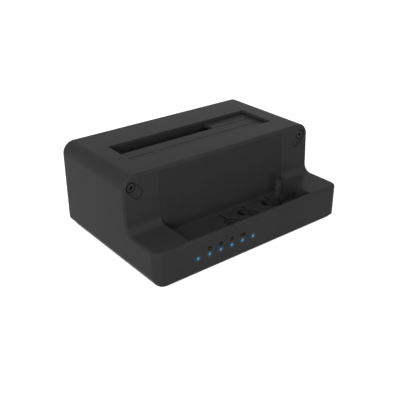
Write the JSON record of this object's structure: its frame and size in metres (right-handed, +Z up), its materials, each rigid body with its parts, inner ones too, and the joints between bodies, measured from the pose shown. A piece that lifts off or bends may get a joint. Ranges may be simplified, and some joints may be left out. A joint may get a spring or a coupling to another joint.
{
  "type": "hard drive docking station",
  "caption": "Desktop docking station with a stepped case: a sprung-flap drive slot in the top and an open card bay with keyholes and a post in front.",
  "frame": {"origin": "under the middle of the case, on the plane that the undersides of the feet stand on", "axes": "+X to the right of someone facing the lights, +Y to the rear with the ports, +Z up"},
  "size_m": [0.139, 0.0958, 0.0535],
  "materials": {
    "case": "fine moulded texture, matt black",
    "cover": "fine moulded texture, matt black",
    "tray": "fine moulded texture, matt black",
    "guide": "plain moulded, matt black",
    "flap": "fine moulded texture, matt black",
    "post": "plain moulded, dark grey",
    "button": "plain moulded, dark grey",
    "switch": "smooth moulded, black",
    "rubber": "matt black rubber",
    "steel": "zinc plated",
    "black_screw": "blackened steel",
    "spring_steel": "bright drawn wire",
    "port_steel": "nickel plated",
    "board": "green solder mask on glass-fibre board",
    "socket": "smooth moulded, black",
    "light_socket": "smooth moulded, off-white",
    "contact": "gold plated",
    "led": "lit, blue-white",
    "light_guide": "clear moulded, polished",
    "ribbon": "flat flexible cable, white",
    "chip": "moulded epoxy, black",
    "coil": "pressed ferrite, grey",
    "can": "satin sleeve"
  },
  "bodies": {
    "base": {"case_shell": "case", "bottom_cover": "cover", "rubber_feet": "rubber", "centre_tray": "tray", "drive_guide": "guide", "flap_pin": "steel", "flap_spring": "spring_steel", "main_board": "board", "sata_receptacle": "socket", "sata_contacts": "contact", "m2_socket": "socket", "m2_contacts": "contact", "led_board": "board", "leds": "led", "light_bar": "light_guide", "ribbon_sockets": "light_socket", "led_ribbon": "ribbon", "board_chips": "chip", "power_coils": "coil", "capacitors": "can", "usb_shell": "port_steel", "usb_tongue": "socket", "power_inlet": "socket", "inlet_pin": "port_steel", "copy_switch": "socket", "switch_body": "switch", "switch_terminals": "contact", "wall_screws": "black_screw", "guide_screws": "steel", "board_screws": "steel", "tray_screws": "steel", "case_screws": "black_screw"},
    "flap": {"slot_flap": "flap"},
    "post": {"m2_post": "post"},
    "button": {"copy_button": "button", "switch_stem": "light_socket"},
    "rocker": {"power_rocker": "switch"}
  },
  "joints": [
    {"name": "flap_hinge", "type": "hinge", "parent": "base", "child": "flap", "pos_m": [0, -0.00365, 0.0493], "axis": [1, 0, 0], "range_deg": [-90, 0], "stiffness_Nm_per_rad": 0.003, "springref_deg": 28.65, "deforming": ["flap_spring"]},
    {"name": "post_slide", "type": "slide", "parent": "base", "child": "post", "axis": [-0.7071, 0.7071, 0], "range_m": [0, 0.0063]},
    {"name": "button_press", "type": "slide", "parent": "base", "child": "button", "axis": [0, -1, 0], "range_m": [0, 0.0006], "stiffness_N_per_m": 2500, "springref_m": -0.0003},
    {"name": "rocker_rock", "type": "hinge", "parent": "base", "child": "rocker", "pos_m": [-0.034, 0.04375, 0.0207], "axis": [0, 0, 1], "range_deg": [-10, 0]}
  ]
}
